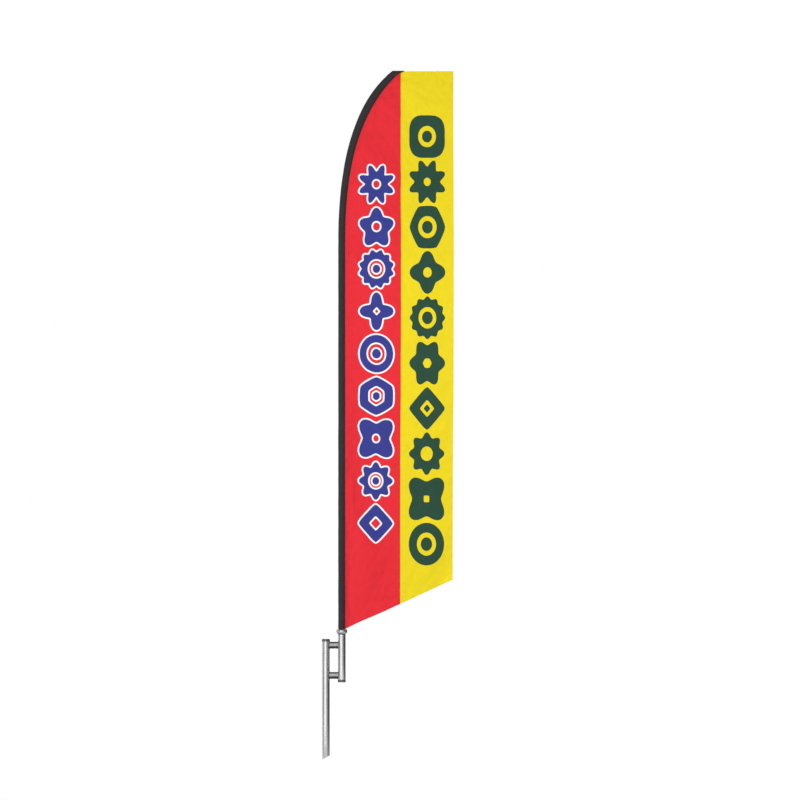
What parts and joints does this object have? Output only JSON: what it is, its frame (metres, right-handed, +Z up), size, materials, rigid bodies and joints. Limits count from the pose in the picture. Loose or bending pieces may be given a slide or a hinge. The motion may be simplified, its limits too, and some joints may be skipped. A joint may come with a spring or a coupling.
{
  "type": "feather flag with pole",
  "caption": "Tall feather flag with a black pole sleeve and red and yellow cloth, on a bent-tip sectional pole that turns in and lifts out of an H-shaped steel ground stake.",
  "frame": {"origin": "on the stake tube's axis at the ground line, the height to which the stake is driven", "axes": "+Z up along the stake and the pole, +X from the stake tube to the pole socket and the flag's fly edge, the flag in the XZ plane"},
  "size_m": [0.8274, 0.07, 4.3293],
  "materials": {
    "stake_steel": "satin",
    "dark_steel": "satin",
    "pole_aluminium": "satin",
    "black_plastic": "matte",
    "rod_fibreglass": "satin",
    "tip_rubber": "matte",
    "sleeve_cloth": "matte",
    "red_cloth": "matte",
    "yellow_cloth": "matte"
  },
  "bodies": {
    "stake": {"stake_tube": "stake_steel", "drive_cap": "dark_steel", "upper_rung": "stake_steel", "lower_rung": "stake_steel", "socket_tube": "stake_steel", "socket_rim_bush": "black_plastic", "socket_lower_bush": "black_plastic", "socket_end_cap": "dark_steel"},
    "swivel": {"bearing_collar": "stake_steel", "collar_liner": "black_plastic"},
    "pole": {"lower_retaining_ring": "dark_steel", "upper_retaining_ring": "dark_steel", "pole_foot_plug": "black_plastic", "pole_base_section": "pole_aluminium", "pole_second_section": "pole_aluminium", "pole_third_section": "pole_aluminium", "base_reducer": "black_plastic", "second_reducer": "black_plastic", "third_reducer": "black_plastic", "rod_spacer": "black_plastic", "pole_tip_rod": "rod_fibreglass", "tip_cap": "tip_rubber", "flag_sleeve": "sleeve_cloth", "tip_pocket": "sleeve_cloth", "red_panel": "red_cloth", "yellow_panel": "yellow_cloth"}
  },
  "joints": [
    {"name": "pole_lift", "type": "slide", "parent": "stake", "child": "swivel", "axis": [0, 0, 1], "range_m": [0, 0.3]},
    {"name": "pole_spin", "type": "hinge", "parent": "swivel", "child": "pole", "pos_m": [0.1, 0, 0.355], "axis": [0, 0, 1], "continuous": true}
  ]
}
